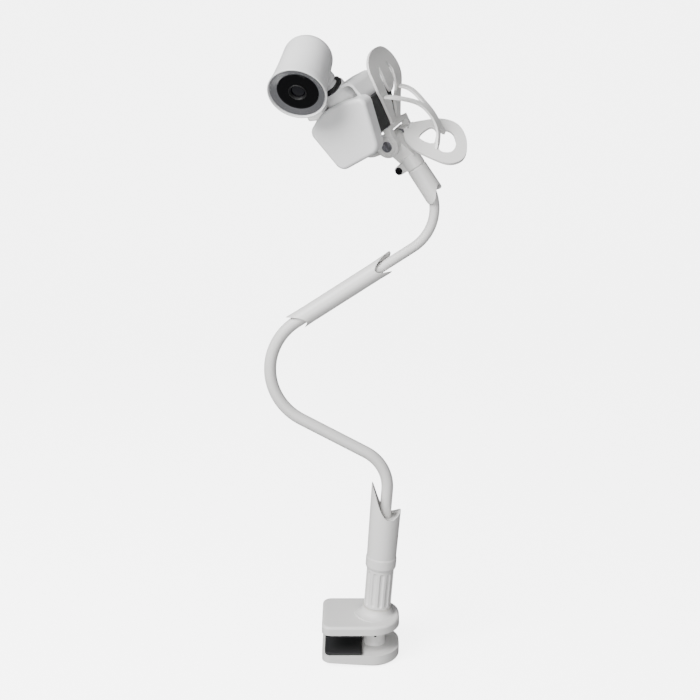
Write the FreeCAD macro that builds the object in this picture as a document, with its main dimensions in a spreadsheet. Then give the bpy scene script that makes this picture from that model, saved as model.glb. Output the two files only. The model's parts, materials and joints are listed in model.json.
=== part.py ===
"""Small camera in a spring clip, on a bendable arm that stands in a screw clamp.

Millimetres, +Z up.  The origin is the centre of the upper clamp pad's underside,
where the pad meets the table top.  X runs from the clamp's mouth to its back.
"""
import FreeCAD, Part
import math
import os
import re

import Sketcher
from FreeCAD import Placement, Rotation, Vector

doc = FreeCAD.newDocument("clamp_arm_camera")
sheet = doc.addObject("Spreadsheet::Sheet", "dims")

SIZES = [
    # clamp
    ("plate_front", 48.0, "column axis to the mouth edge of the jaws"),
    ("plate_back", 21.0, "column axis to the back edge of the jaws"),
    ("plate_width", 58.0, "jaw width"),
    ("plate_thick", 8.0, "upper jaw plate"),
    ("plate_round", 2.4, "rounding of the plates' long edges"),
    ("front_corner", 8.0, "corner radius at the mouth"),
    ("back_corner", 25.0, "corner radius at the back"),
    ("pad_thick", 2.5, "clamp pads"),
    ("pad_length", 33.0, "clamp pads, along X"),
    ("pad_width", 54.0, "clamp pads, along Y"),
    ("pad_inset", 2.5, "pad edge behind the mouth edge"),
    ("mouth", 15.0, "gap between the pads as it stands"),
    ("open_travel", 27.0, "how far the lower jaw can still open"),
    ("lower_tip", 6.0, "lower jaw thickness at the mouth"),
    ("lower_root", 10.0, "lower jaw thickness under the post"),
    ("boss_foot", 20.0, "radius of the boss on the upper jaw"),
    ("boss_top", 13.0, "radius of the boss where the grip stands"),
    ("boss_height", 6.5, "boss above the plate"),
    ("lean", 4.2, "angle between the column and the plates' normal"),
    ("foot_shift", 2.5, "column foot to the origin of the arm's line, along X"),
    ("post_rad", 9.6, "guide post of the lower jaw"),
    ("post_play", 0.08, "radial clearance of the post"),
    ("post_flare", 10.9, "radius of the post's flared foot"),
    ("key_width", 3.0, "key slot along the post"),
    ("key_depth", 1.3, "key slot depth"),
    ("key_play", 0.2, "clearance round the key"),
    ("screw_rad", 4.0, "clamp screw"),
    ("screw_play", 0.08, "radial clearance of the screw in its nut"),
    ("nut_rad", 7.0, "screw nut pressed in the post"),
    ("nut_length", 10.0, "screw nut"),
    ("grip_rad", 12.1, "fluted grip"),
    ("grip_visible", 38.5, "fluted length of the grip"),
    ("grip_cap", 4.0, "grip's end plate"),
    ("flute_count", 12.0, "flutes"),
    ("flute_rad", 2.5, "flute radius"),
    ("flute_depth", 1.2, "flute depth"),
    ("washer_thick", 1.0, "thrust washer"),
    ("axial_gap", 0.2, "end clearance of turning pieces"),
    # arm
    ("spigot_rad", 11.4, "top of the grip, inside the lower sleeve"),
    ("spigot_length", 17.0, "top of the grip, inside the lower sleeve"),
    ("bush_play", 0.08, "radial clearance of the bush on the spigot"),
    ("bush_wall", 0.8, "friction bush"),
    ("sleeve_foot", 13.1, "lower sleeve radius at its foot"),
    ("sleeve_head", 13.9, "lower sleeve radius at its mouth"),
    ("sleeve_length", 77.3, "lower sleeve, foot to tallest tip"),
    ("sleeve_cavity", 20.5, "room for the clamp screw above the grip"),
    ("sleeve_web", 10.0, "solid part that holds the neck"),
    ("sleeve_wall", 1.8, "wall at the open mouth"),
    ("neck_low_rad", 5.2, "lower neck over its sheath"),
    ("neck_up_rad", 4.2, "upper neck over its sheath"),
    ("sheath_wall", 1.4, "neck sheath"),
    ("core_gap", 0.05, "between sheath and core"),
    ("ball_gap", 0.3, "clearance at each neck's bending point"),
    ("low_bend_rad", 36.0, "lower neck, first bend"),
    ("mid_bend_rad", 50.0, "lower neck, large bend"),
    ("up_bend_rad", 38.0, "upper neck bend"),
    ("mid_rad", 7.7, "middle sleeve"),
    ("mid_wall", 1.0, "wall at the middle sleeve's mouths"),
    ("upper_rad", 8.4, "upper sleeve"),
    ("upper_wall", 1.2, "wall at the upper sleeve's mouth"),
    ("upper_length", 43.0, "upper sleeve, shoulder to longest tip"),
    ("spigot_up_rad", 5.5, "upper sleeve's spigot in the yoke collar"),
    ("swivel_play", 0.06, "radial clearance of the spigot"),
    ("collar_rad", 8.3, "yoke collar"),
    ("collar_height", 9.0, "yoke collar"),
    # clip
    ("eye_rad", 8.0, "yoke eye"),
    ("eye_width", 12.0, "yoke eye along the tilt screw"),
    ("disc_rad", 9.6, "front disc of the clip jaw"),
    ("disc_width", 6.0, "front disc of the clip jaw"),
    ("lug_rad", 7.0, "other hinge lugs"),
    ("lug_width", 4.0, "other hinge lugs"),
    ("lug_gap", 0.4, "side clearance between hinge lugs"),
    ("spring_length", 6.4, "hinge spring"),
    ("bolt_rad", 2.5, "tilt screw"),
    ("bolt_play", 0.06, "radial clearance on the tilt screw"),
    ("wing_thick", 2.2, "wing plates"),
    ("wing_length", 62.0, "clip jaw's wing, beyond its cross bar"),
    ("paddle_length", 50.0, "lever's paddle"),
    ("wing_width", 50.0, "widest part of the wings"),
    ("neck_width", 15.0, "wings next to the hinge"),
    ("clip_pad_thick", 2.8, "pads in the clip"),
    ("arch_rad", 39.8, "arched spring, mid radius about the hinge"),
    ("arch_thick", 2.0, "arched spring"),
    ("arch_band", 8.6, "arched spring, width of its middle band"),
    # camera base
    ("front_depth", 13.0, "front cover"),
    ("rear_depth", 38.0, "rear cover"),
    ("case_wall", 2.0, "case walls"),
    ("front_round", 3.0, "front cover edge"),
    ("hub_rad", 10.6, "round hub under the head"),
    ("ball_rad", 6.8, "head ball"),
    ("ball_play", 0.08, "radial clearance of the ball"),
    ("ring_rad", 9.6, "black pan ring"),
    ("ring_height", 2.6, "black pan ring"),
    # camera head
    ("stub_rad", 8.2, "ribbed stub"),
    ("head_reach", 28.3, "ball centre to the head's axis"),
    ("head_front_rad", 23.2, "head at its lip"),
    ("head_rear_rad", 19.6, "head at the root of its dome"),
    ("head_front", 36.0, "stub axis to the lip"),
    ("head_rear", 19.6, "stub axis to the back of the dome"),
    ("head_wall", 1.8, "head shell"),
    ("bezel_out", 21.2, "silver bezel, outside"),
    ("bezel_in", 15.7, "silver bezel, inside"),
    ("bezel_depth", 2.4, "silver bezel"),
    ("window_thick", 1.5, "black window"),
    ("barrel_rad", 7.0, "lens barrel"),
    ("barrel_length", 14.2, "lens barrel"),
    ("lens_rad", 5.6, "front lens"),
    ("lamp_rad", 1.5, "infrared lamp"),
    ("lamp_ring", 11.2, "circle that the lamps stand on"),
]
for row, (alias, number, meaning) in enumerate(SIZES, start=1):
    sheet.set("A%d" % row, meaning)
    sheet.set("B%d" % row, str(number))
    sheet.setAlias("B%d" % row, alias)
doc.recompute()

WORD = re.compile(r"[a-z][a-z0-9_]*")
MATH_NAMES = ("sin", "cos", "tan", "sqrt")
PIECES = []


def formula(text):
    """An expression in plain alias names, written out for setExpression."""
    def full_name(match):
        word = match.group()
        return word if word in MATH_NAMES else "dims." + word
    return WORD.sub(full_name, str(text))


def value(text):
    """The present value of such an expression."""
    if isinstance(text, (int, float)):
        return float(text)
    total = sheet.evalExpression(formula(text))
    return float(getattr(total, "Value", total))


# ---------------------------------------------------------------- small tools

def bind(obj, **texts):
    for prop, text in texts.items():
        obj.setExpression(prop, formula(text))
    return obj


def spot(x=0, y=0, z=0):
    return Vector(value(x), value(y), value(z))


def turn_to(axis):
    return Rotation(Vector(0, 0, 1), Vector(*axis))


def place(obj, at, axis):
    obj.Placement = Placement(spot(*at), turn_to(axis))
    for letter, text in zip("xyz", at):
        if isinstance(text, str):
            obj.setExpression("Placement.Base." + letter, formula(text))
    return obj


def cylinder(radius, height, at=(0, 0, 0), axis=(0, 0, 1)):
    obj = bind(doc.addObject("Part::Cylinder", "cylinder"), Radius=radius, Height=height)
    return place(obj, at, axis)


def cone(radius_1, radius_2, height, at=(0, 0, 0), axis=(0, 0, 1)):
    obj = bind(doc.addObject("Part::Cone", "cone"), Radius1=radius_1, Radius2=radius_2, Height=height)
    return place(obj, at, axis)


def sphere(radius, at=(0, 0, 0)):
    return place(bind(doc.addObject("Part::Sphere", "sphere"), Radius=radius), at, (0, 0, 1))


def box(length, width, height, at=(0, 0, 0)):
    obj = bind(doc.addObject("Part::Box", "box"), Length=length, Width=width, Height=height)
    return place(obj, at, (0, 0, 1))


def torus(radius, thickness, at=(0, 0, 0), axis=(0, 0, 1)):
    obj = bind(doc.addObject("Part::Torus", "torus"), Radius1=radius, Radius2=thickness)
    return place(obj, at, axis)


def fuse(*shapes):
    obj = doc.addObject("Part::MultiFuse", "fusion")
    obj.Shapes = list(shapes)
    obj.Refine = True
    return obj


def cut(base, *tools):
    obj = doc.addObject("Part::Cut", "cut")
    obj.Base = base
    obj.Tool = tools[0] if len(tools) == 1 else fuse(*tools)
    return obj


def feature(shape, name="shape"):
    obj = doc.addObject("Part::Feature", name)
    obj.Shape = shape
    return obj


def sketch_on(body, plane, name):
    sketch = body.newObject("Sketcher::SketchObject", name)
    origin_plane = [item for item in body.Origin.OriginFeatures if item.Role == plane][0]
    sketch.AttachmentSupport = [(origin_plane, "")]
    sketch.MapMode = "FlatFace"
    return sketch


def outline(sketch, corners):
    """Closed polygon whose corner coordinates are all bound to the sheet."""
    points = [Vector(value(x), value(y), 0) for x, y in corners]
    count = len(points)
    for index in range(count):
        sketch.addGeometry(Part.LineSegment(points[index], points[(index + 1) % count]), False)
    for index in range(count):
        sketch.addConstraint(Sketcher.Constraint("Coincident", index, 2, (index + 1) % count, 1))
    for index, (x, y) in enumerate(corners):
        for kind, text, number in (("DistanceX", x, points[index].x), ("DistanceY", y, points[index].y)):
            row = sketch.addConstraint(Sketcher.Constraint(kind, -1, 1, index, 1, number))
            if isinstance(text, str):
                sketch.setExpression("Constraints[%d]" % row, formula(text))
    return sketch


def turned(corners, name="turned"):
    """Body of revolution about Z; corners are (radius, z)."""
    body = doc.addObject("PartDesign::Body", name)
    sketch = outline(sketch_on(body, "XZ_Plane", "profile"), corners)
    spin = body.newObject("PartDesign::Revolution", "revolution")
    spin.Profile = sketch
    spin.ReferenceAxis = (sketch, ["V_Axis"])
    spin.Angle = 360.0
    sketch.Visibility = False
    return body


def slab(corners, thickness, name="slab", plane="XY_Plane"):
    """Plate of even thickness on the given outline."""
    body = doc.addObject("PartDesign::Body", name)
    sketch = outline(sketch_on(body, plane, "outline"), corners)
    pad = body.newObject("PartDesign::Pad", "pad")
    pad.Profile = sketch
    pad.setExpression("Length", formula(thickness))
    return body


def rounded(body, radius, wanted):
    """Fillet the edges of the body's tip that the test picks."""
    doc.recompute()
    base = body.Tip
    names = ["Edge%d" % (number + 1) for number, edge in enumerate(base.Shape.Edges) if wanted(edge)]
    fillet = body.newObject("PartDesign::Fillet", "fillet")
    fillet.Base = (base, names)
    fillet.setExpression("Radius", formula(radius))
    doc.recompute()
    return body


def upright(edge):
    direction = edge.tangentAt(edge.FirstParameter)
    return abs(direction.z) > 0.99 * direction.Length and edge.Length > 1.0


def piece(obj, label, frame=None):
    """Name a finished sub-part and put it where it belongs."""
    if frame is not None:
        doc.recompute()
        obj.Placement = frame.multiply(obj.Placement)
    obj.Label = label
    PIECES.append(obj)
    return obj


def frame_of(origin, z_axis, y_hint):
    """Placement with the given Z axis and its Y axis as near the hint as can be."""
    z_dir = Vector(z_axis).normalize()
    y_dir = y_hint - z_dir * y_hint.dot(z_dir)
    y_dir.normalize()
    x_dir = y_dir.cross(z_dir)
    return Placement(origin, Rotation(x_dir, y_dir, z_dir, "ZYX"))


# ---------------------------------------------------------------- frames

COLUMN_X = value("plate_front - pad_inset - pad_length / 2")
FOOT = Placement(Vector(COLUMN_X, 0, 0), Rotation())
ARM = Placement(Vector(COLUMN_X + value("foot_shift"), 0, 0), Rotation())
COLUMN = Placement(Vector(COLUMN_X, 0, 0), Rotation(Vector(0, 1, 0), value("lean")))
BACKWARD = Vector(0, 1, 0)

# The arm's neutral line, in the X-Z plane.
MIDDLE_AT = Vector(-28.2, 0, 305.6)
MIDDLE_DIR = Vector(0.84, 0, 0.543).normalize()
SLOPE_AT = Vector(-32.0, 0, 173.1)
SLOPE_DIR = Vector(-0.88, 0, 0.475).normalize()
HEAD_END_AT = Vector(24.7, 0, 412.4)
HEAD_END_DIR = Vector(-0.561, 0, 0.828).normalize()
DEPTH_DIR = Vector(0.413, 0.868, 0.279)

MIDDLE = ARM.multiply(frame_of(MIDDLE_AT, MIDDLE_DIR, BACKWARD))
YOKE = ARM.multiply(frame_of(HEAD_END_AT, HEAD_END_DIR, DEPTH_DIR))
UPPER = YOKE

# Tilt axis: across the yoke, through its eye.
EYE_X = -5.6
EYE_Z = 20.7
CLIP_TURN = -6.56
EYE_FRONT = value("disc_width + lug_gap + eye_width / 2")
CLIP = YOKE.multiply(Placement(Vector(EYE_X, -EYE_FRONT, EYE_Z), Rotation(Vector(0, 1, 0), -CLIP_TURN)))


# ---------------------------------------------------------------- clamp

def jaw_corners():
    return [("-plate_front", "-plate_width / 2"), ("plate_back", "-plate_width / 2"),
            ("plate_back", "plate_width / 2"), ("-plate_front", "plate_width / 2")]


def jaw_plate(thickness):
    plate = slab(jaw_corners(), thickness, "jaw_plate")
    rounded(plate, "front_corner", lambda edge: upright(edge) and edge.CenterOfMass.x < 0)
    rounded(plate, "back_corner", lambda edge: upright(edge) and edge.CenterOfMass.x > 0)
    top = value(thickness)
    return rounded(plate, "plate_round", lambda edge: abs(edge.CenterOfMass.z - top) < 0.01)


PLATE_TOP = "pad_thick + plate_thick"
BOSS_TOP = PLATE_TOP + " + boss_height"
LOWER_TOP = "-mouth - pad_thick"
POST_TOP = BOSS_TOP + " + open_travel + 3"
POST_HOLLOW = "screw_rad + 0.7"
HOLLOW_FLOOR = LOWER_TOP + " + lower_root - 0.5"
LEAN_ROTATION = Rotation(Vector(0, 1, 0), value("lean"))


def leaning(*parts):
    """Set pieces of the clamp along the column instead of the plates' normal."""
    group = doc.addObject("Part::Compound", "leaning")
    group.Links = list(parts)
    group.Placement = Placement(Vector(), LEAN_ROTATION)
    return group


def key_bar(width, depth, z_low, height):
    return box(width, depth + " + 4", height, ("-(" + width + ") / 2", "post_rad - (" + depth + ")", z_low))


# The boss swells out of the plate: (share of its height, share of its spread) pairs.
BOSS_CURVE = ((0.0, 1.0), (0.05, 0.72), (0.14, 0.5), (0.28, 0.3), (0.46, 0.15), (0.7, 0.05), (1.0, 0.0))


def upper_jaw():
    plate = jaw_plate("plate_thick")
    plate.Placement.Base = Vector(0, 0, value("pad_thick"))
    swell = [(PLATE_TOP + " + boss_height * %s" % high, "boss_top + (boss_foot - boss_top) * %s" % wide)
             for high, wide in BOSS_CURVE]
    profile = [(0, PLATE_TOP + " - 3"), ("boss_foot", PLATE_TOP + " - 3")]
    profile += [(radius, height) for height, radius in swell]
    boss = leaning(turned(profile + [(0, BOSS_TOP)], "boss"))
    key = leaning(key_bar("key_width - 2 * key_play", "key_depth - key_play",
                          "pad_thick + 1", "plate_thick + boss_height - 1.5"))
    bore = leaning(cylinder("post_rad + post_play", 60, (0, 0, -20)))
    return fuse(cut(fuse(plate, boss), bore), key)


def clamp_pad(z_low):
    front = "-plate_front + pad_inset"
    back = front + " + pad_length"
    pad = slab([(front, "-pad_width / 2"), (back, "-pad_width / 2"), (back, "pad_width / 2"),
                (front, "pad_width / 2")], "pad_thick", "clamp_pad")
    rounded(pad, "front_corner - pad_inset",
            lambda edge: upright(edge) and edge.CenterOfMass.x < value(front) + 1)
    pad.Placement.Base = Vector(0, 0, value(z_low))
    return pad


def lower_jaw():
    plate = jaw_plate("lower_root")
    plate.Placement = Placement(Vector(0, 0, value(LOWER_TOP)), Rotation(Vector(1, 0, 0), 180))
    slope = slab([("-plate_front - 1", "-lower_root - 1"), (8, "-lower_root - 1"), (8, "-lower_root"),
                  ("-plate_front - 1", "-lower_tip")], 80, "slope", "XZ_Plane")
    slope.Placement = Placement(Vector(0, 40, value(LOWER_TOP)), Rotation())
    post_span = POST_TOP + " - (" + LOWER_TOP + ") + 4"
    post = leaning(cylinder("post_rad", post_span, (0, 0, LOWER_TOP + " - 4")))
    flare = leaning(cone("post_flare", "post_rad", 3.5, (0, 0, LOWER_TOP + " - 0.5")))
    hollow = leaning(cylinder(POST_HOLLOW, 90, (0, 0, HOLLOW_FLOOR)))
    nut_seat = leaning(cylinder("nut_rad", 30, (0, 0, POST_TOP + " - nut_length")))
    key_slot = leaning(key_bar("key_width", "key_depth", LOWER_TOP + " + 4", 90))
    pin_hole = leaning(cylinder(1.4, 3, (0, "-post_rad - 1", LOWER_TOP + " + 9.5"), (0, 1, 0)))
    return cut(fuse(cut(plate, slope), post, flare), hollow, nut_seat, key_slot, pin_hole)


GRIP_FOOT = BOSS_TOP + " + washer_thick + axial_gap"
GRIP_SHOULDER = BOSS_TOP + " + grip_visible"
GRIP_TOP = GRIP_SHOULDER + " + spigot_length"


def fluted_grip():
    tube = turned([("post_rad + 0.35", GRIP_FOOT), ("grip_rad", GRIP_FOOT), ("grip_rad", GRIP_SHOULDER),
                   ("spigot_rad", GRIP_SHOULDER), ("spigot_rad", GRIP_TOP), ("screw_rad", GRIP_TOP),
                   ("screw_rad", GRIP_TOP + " - grip_cap"),
                   ("post_rad + 0.35", GRIP_TOP + " - grip_cap")], "grip")
    tools = []
    count = int(value("flute_count"))
    reach = value("grip_rad - flute_depth + flute_rad")
    for number in range(count):
        angle = 2 * math.pi * (number + 0.25) / count
        at = (reach * math.cos(angle), reach * math.sin(angle), GRIP_FOOT + " + flute_rad + 1.5")
        end = at[:2] + (GRIP_SHOULDER + " - flute_rad - 2.5",)
        height = "(" + end[2] + ") - (" + at[2] + ")"
        tools += [cylinder("flute_rad", height, at), sphere("flute_rad", at), sphere("flute_rad", end)]
    return cut(tube, *tools)


def clamp_screw():
    """Plain rod at the thread's mid size, with a round head on the grip's end plate."""
    low = HOLLOW_FLOOR + " + mouth + 2"
    return turned([(0, low), ("screw_rad", low), ("screw_rad", GRIP_TOP), ("screw_rad + 2.2", GRIP_TOP),
                   ("screw_rad + 2.2", GRIP_TOP + " + 3"), (0, GRIP_TOP + " + 3")], "clamp_screw")


def ring(inner, outer, low, height, name="ring"):
    return turned([(inner, low), (outer, low), (outer, "(" + str(low) + ") + " + str(height)),
                   (inner, "(" + str(low) + ") + " + str(height))], name)


piece(upper_jaw(), "upper_jaw", FOOT)
piece(clamp_pad("0"), "upper_pad", FOOT)
piece(ring("post_rad + 0.5", "boss_top - 0.2", BOSS_TOP, "washer_thick"), "thrust_washer", COLUMN)
piece(lower_jaw(), "lower_jaw", FOOT)
piece(clamp_pad(LOWER_TOP), "lower_pad", FOOT)
piece(ring("screw_rad + screw_play", "nut_rad", POST_TOP + " - nut_length", "nut_length"),
      "screw_nut", COLUMN)
piece(turned([(0, 0), (1.35, 0), (1.35, 1.6), (0, 1.6)], "post_pin"), "post_pin",
      COLUMN.multiply(Placement(spot(0, "-post_rad + 0.3", LOWER_TOP + " + 9.5"), turn_to((0, 1, 0)))))
piece(fluted_grip(), "fluted_grip", COLUMN)
piece(clamp_screw(), "clamp_screw", COLUMN)


# ---------------------------------------------------------------- arm

MOUTH_REACH = 20.0
DOWNWARD = Placement(Vector(), Rotation(Vector(1, 0, 0), 180))


def about_z(degrees):
    return Placement(Vector(), Rotation(Vector(0, 0, 1), degrees))


def mouth_tool(rim, frame):
    """Solid that cuts a fish mouth; rim lists (x, z) from one tip over the low point to the other."""
    points = [Vector(x, -MOUTH_REACH, z) for x, z in rim]
    curve = Part.BSplineCurve()
    curve.interpolate(points)
    top = max(point.z for point in points) + 30
    far_top, near_top = (Vector(points[end].x, -MOUTH_REACH, top) for end in (-1, 0))
    corners = [points[-1], far_top, near_top, points[0]]
    lines = [Part.LineSegment(corners[k], corners[k + 1]).toShape() for k in range(3)]
    face = Part.Face(Part.Wire([curve.toShape()] + lines))
    tool = feature(face.extrude(Vector(0, 2 * MOUTH_REACH, 0)), "mouth")
    tool.Placement = frame
    return tool


SLEEVE_FOOT = GRIP_SHOULDER + " + axial_gap"
SLEEVE_TIP = SLEEVE_FOOT + " + sleeve_length"
WEB_LOW = GRIP_TOP + " + sleeve_cavity"
WEB_TOP = WEB_LOW + " + sleeve_web"
BUSH_OUT = "spigot_rad + bush_play + bush_wall"


def lower_sleeve():
    rim = "sleeve_foot + 0.5"
    skin = turned([(0, SLEEVE_FOOT), ("sleeve_foot", SLEEVE_FOOT), (rim, SLEEVE_FOOT + " + 1.5"),
                   (rim, SLEEVE_FOOT + " + 9"), ("sleeve_foot", SLEEVE_FOOT + " + 10.5"),
                   ("sleeve_head", SLEEVE_TIP), (0, SLEEVE_TIP)], "sleeve_skin")
    bush_span = GRIP_TOP + " - (" + SLEEVE_FOOT + ") + 1"
    bush_room = cylinder(BUSH_OUT, bush_span, (0, 0, SLEEVE_FOOT + " - 0.5"))
    cavity = cylinder("spigot_rad - 1", "sleeve_cavity - 0.5", (0, 0, GRIP_TOP + " + 0.5"))
    neck_hole = cylinder("neck_low_rad", "sleeve_web + 2", (0, 0, WEB_LOW + " - 1"))
    mouth = cone("sleeve_head - sleeve_wall - 0.4", "sleeve_head - sleeve_wall", 45, (0, 0, WEB_TOP))
    tip, edge = value(SLEEVE_TIP), value("sleeve_head") + 1
    rim_line = [(-edge, tip + 3), (-edge * 0.55, tip - 13), (0.12 * edge, tip - 28.5), (edge, tip - 21)]
    return cut(skin, bush_room, cavity, neck_hole, mouth, mouth_tool(rim_line, Placement()))


def corner_of(start, along, end, back):
    """Where the line start+along meets the line end+back, in the X-Z plane."""
    cross = along.x * back.z - along.z * back.x
    gap = end - start
    return start + along * ((gap.x * back.z - gap.z * back.x) / cross)


def arc_at(corner, before, after, radius):
    """Arc tangent to both runs of a corner: its two ends and its middle."""
    half = math.acos(max(-1, min(1, before.dot(after)))) / 2
    reach = radius * math.tan(half)
    centre_way = (after - before).normalize()
    centre = corner + centre_way * (radius / math.cos(half))
    return corner - before * reach, centre - centre_way * radius, corner + after * reach


def run(start, end):
    return Part.LineSegment(start, end).toShape()


def bend(points):
    return Part.Arc(*points).toShape()


def tube(edges, outer, inner=0.0):
    """Round tube along tangent runs and bends."""
    path = Part.Wire(edges)
    start = path.Edges[0]
    point = start.valueAt(start.FirstParameter)
    tangent = start.tangentAt(start.FirstParameter)
    solids = []
    for radius in (outer, inner):
        if radius <= 0:
            continue
        section = Part.Wire([Part.Circle(point, tangent, radius).toShape()])
        solids.append(path.makePipeShell([section], True, False))
    return solids[0].cut(solids[1]) if len(solids) > 1 else solids[0]


COLUMN_DIR = LEAN_ROTATION.multVec(Vector(0, 0, 1))
NECK_START = COLUMN_DIR * value(WEB_LOW) - Vector(value("foot_shift"), 0, 0)
MOUTH_CORNER = corner_of(NECK_START, COLUMN_DIR, SLOPE_AT, SLOPE_DIR)
BIG_CORNER = corner_of(SLOPE_AT, SLOPE_DIR, MIDDLE_AT, MIDDLE_DIR)
TOP_CORNER = corner_of(MIDDLE_AT, MIDDLE_DIR, HEAD_END_AT, HEAD_END_DIR)
LOW_BEND = arc_at(MOUTH_CORNER, COLUMN_DIR, SLOPE_DIR, value("low_bend_rad"))
MID_BEND = arc_at(BIG_CORNER, SLOPE_DIR, MIDDLE_DIR, value("mid_bend_rad"))
UP_BEND = arc_at(TOP_CORNER, MIDDLE_DIR, HEAD_END_DIR, value("up_bend_rad"))
LOW_PIVOT = (LOW_BEND[2] + MID_BEND[0]) * 0.5
UP_PIVOT = UP_BEND[1]
LOW_NECK_END = MIDDLE_AT - MIDDLE_DIR * 12
UP_NECK_START = MIDDLE_AT - MIDDLE_DIR * 8
UP_NECK_END = HEAD_END_AT - HEAD_END_DIR * 9


def split_arc(points):
    """The two halves of an arc, cut at its middle point."""
    curve = Part.Arc(*points)
    low, high = curve.FirstParameter, curve.LastParameter
    stops = [curve.value(low + (high - low) * part / 4) for part in range(5)]
    return bend(stops[:3]), bend(stops[2:])


def neck_parts(root_edges, far_edges, pivot, radius):
    """Sheath and core on both sides of a bending point: a ball end in a cup."""
    inner = radius - value("sheath_wall")
    core = inner - value("core_gap")
    ball = Part.makeSphere(radius, pivot)
    cup = Part.makeSphere(radius + value("ball_gap"), pivot)
    stop = Part.makeSphere(radius + 1.2, pivot)
    root_hollow = tube(root_edges, inner).cut(stop)
    root_sheath = tube(root_edges, radius).fuse(ball).cut(root_hollow).removeSplitter()
    far_sheath = tube(far_edges, radius, inner).cut(cup)
    root_core = tube(root_edges, core).cut(stop)
    far_core = tube(far_edges, core).cut(stop)
    return root_sheath, root_core, far_sheath, far_core


LOW_ROOT = [run(NECK_START, LOW_BEND[0]), bend(LOW_BEND), run(LOW_BEND[2], LOW_PIVOT)]
LOW_FAR = [run(LOW_PIVOT, MID_BEND[0]), bend(MID_BEND), run(MID_BEND[2], LOW_NECK_END)]
UP_HALVES = split_arc(UP_BEND)
UP_ROOT = [run(UP_NECK_START, UP_BEND[0]), UP_HALVES[0]]
UP_FAR = [UP_HALVES[1], run(UP_BEND[2], UP_NECK_END)]


def middle_sleeve():
    low, high = -60.0, 47.0
    skin = turned([(0, low), ("mid_rad + 0.5", low), ("mid_rad", low + 22), ("mid_rad", high - 18),
                   ("mid_rad + 0.6", high), (0, high)], "middle_skin")
    neck_low = cylinder("neck_low_rad", 60, (0, 0, -70))
    neck_up = cylinder("neck_up_rad", 70, (0, 0, -8.5))
    mouth_low = cone("mid_rad - mid_wall + 0.5", "mid_rad - mid_wall", 22, (0, 0, low))
    mouth_up = cone("mid_rad - mid_wall", "mid_rad - mid_wall + 0.6", 27, (0, 0, high - 27))
    edge = value("mid_rad") + 1.2
    upper_rim = [(-edge, high + 2), (-0.5 * edge, high - 8), (0.1 * edge, high - 17), (edge, high + 1)]
    lower_rim = [(-edge, -low + 2), (-0.4 * edge, -low - 12), (0.3 * edge, -low - 17), (edge, -low - 8)]
    upper_cut = mouth_tool(upper_rim, about_z(-35))
    lower_cut = mouth_tool(lower_rim, DOWNWARD)
    return cut(skin, neck_low, neck_up, mouth_low, mouth_up, upper_cut, lower_cut)


def upper_sleeve():
    length = value("upper_length")
    shoulder = "-collar_height * 2 / 3 - axial_gap"
    skin = turned([(0, "collar_height / 3 - 1"), ("spigot_up_rad", "collar_height / 3 - 1"),
                   ("spigot_up_rad", shoulder), ("upper_rad - 0.8", shoulder),
                   ("upper_rad", shoulder + " - 1.2"),
                   ("upper_rad + 0.4", -length), (0, -length)], "upper_skin")
    neck_hole = cylinder("neck_up_rad + core_gap", length, (0, 0, -length - 9))
    mouth = cone("upper_rad - upper_wall + 0.4", "upper_rad - upper_wall", length - 20, (0, 0, -length))
    edge = value("upper_rad") + 1.2
    rim = [(-edge, length - 4), (-0.6 * edge, length - 9), (0, length - 15), (0.6 * edge, length - 13),
           (edge, length + 1)]
    return cut(skin, neck_hole, mouth, mouth_tool(rim, about_z(75).multiply(DOWNWARD)))


piece(lower_sleeve(), "lower_sleeve", COLUMN)
piece(ring("spigot_rad + bush_play", BUSH_OUT, SLEEVE_FOOT + " + 1", "spigot_length - 2"),
      "swivel_bush", COLUMN)
for label, shape in zip(("lower_sheath_root", "lower_core_root", "lower_sheath_far", "lower_core_far"),
                        neck_parts(LOW_ROOT, LOW_FAR, LOW_PIVOT, value("neck_low_rad"))):
    piece(feature(shape), label, ARM)
piece(middle_sleeve(), "middle_sleeve", MIDDLE)
for label, shape in zip(("upper_sheath_root", "upper_core_root", "upper_sheath_far", "upper_core_far"),
                        neck_parts(UP_ROOT, UP_FAR, UP_PIVOT, value("neck_up_rad"))):
    piece(feature(shape), label, ARM)
piece(upper_sleeve(), "upper_sleeve", UPPER)


# ---------------------------------------------------------------- yoke and clip hinge

PINCH_X = -12.3
PINCH_Z = -1.5
PINCH_BOSS = 3.8


def yoke():
    low = "-collar_height * 2 / 3"
    top = "collar_height / 3"
    collar = cylinder("collar_rad", "collar_height + 2", (0, 0, low))
    arm = slab([("-collar_rad + 0.6", top), ("collar_rad - 0.6", top), (EYE_X + 7.8, EYE_Z),
                (EYE_X - 7.8, EYE_Z)], "eye_width", "yoke_arm", "XZ_Plane")
    arm.Placement = Placement(Vector(0, value("eye_width / 2"), 0), Rotation())
    eye = cylinder("eye_rad", "eye_width", (EYE_X, "-eye_width / 2", EYE_Z), (0, 1, 0))
    lug = cylinder(PINCH_BOSS, "eye_width", (PINCH_X, "-eye_width / 2", PINCH_Z), (0, 1, 0))
    lug_foot = (PINCH_X, "-eye_width / 2", PINCH_Z - PINCH_BOSS)
    lug_root = box(-PINCH_X - 5, "eye_width", 2 * PINCH_BOSS, lug_foot)
    body = fuse(collar, arm, eye, lug, lug_root)
    bore = cylinder("spigot_up_rad + swivel_play", "collar_height", (0, 0, low + " - 0.1"))
    slit = box(15, 1.2, "collar_height + 0.2", (-20, -0.6, low + " - 0.2"))
    screw_hole = cylinder(1.55, 30, (PINCH_X, -15, PINCH_Z), (0, 1, 0))
    eye_hole = cylinder("bolt_rad + bolt_play", 40, (EYE_X, -20, EYE_Z), (0, 1, 0))
    return cut(body, bore, slit, screw_hole, eye_hole)


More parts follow.
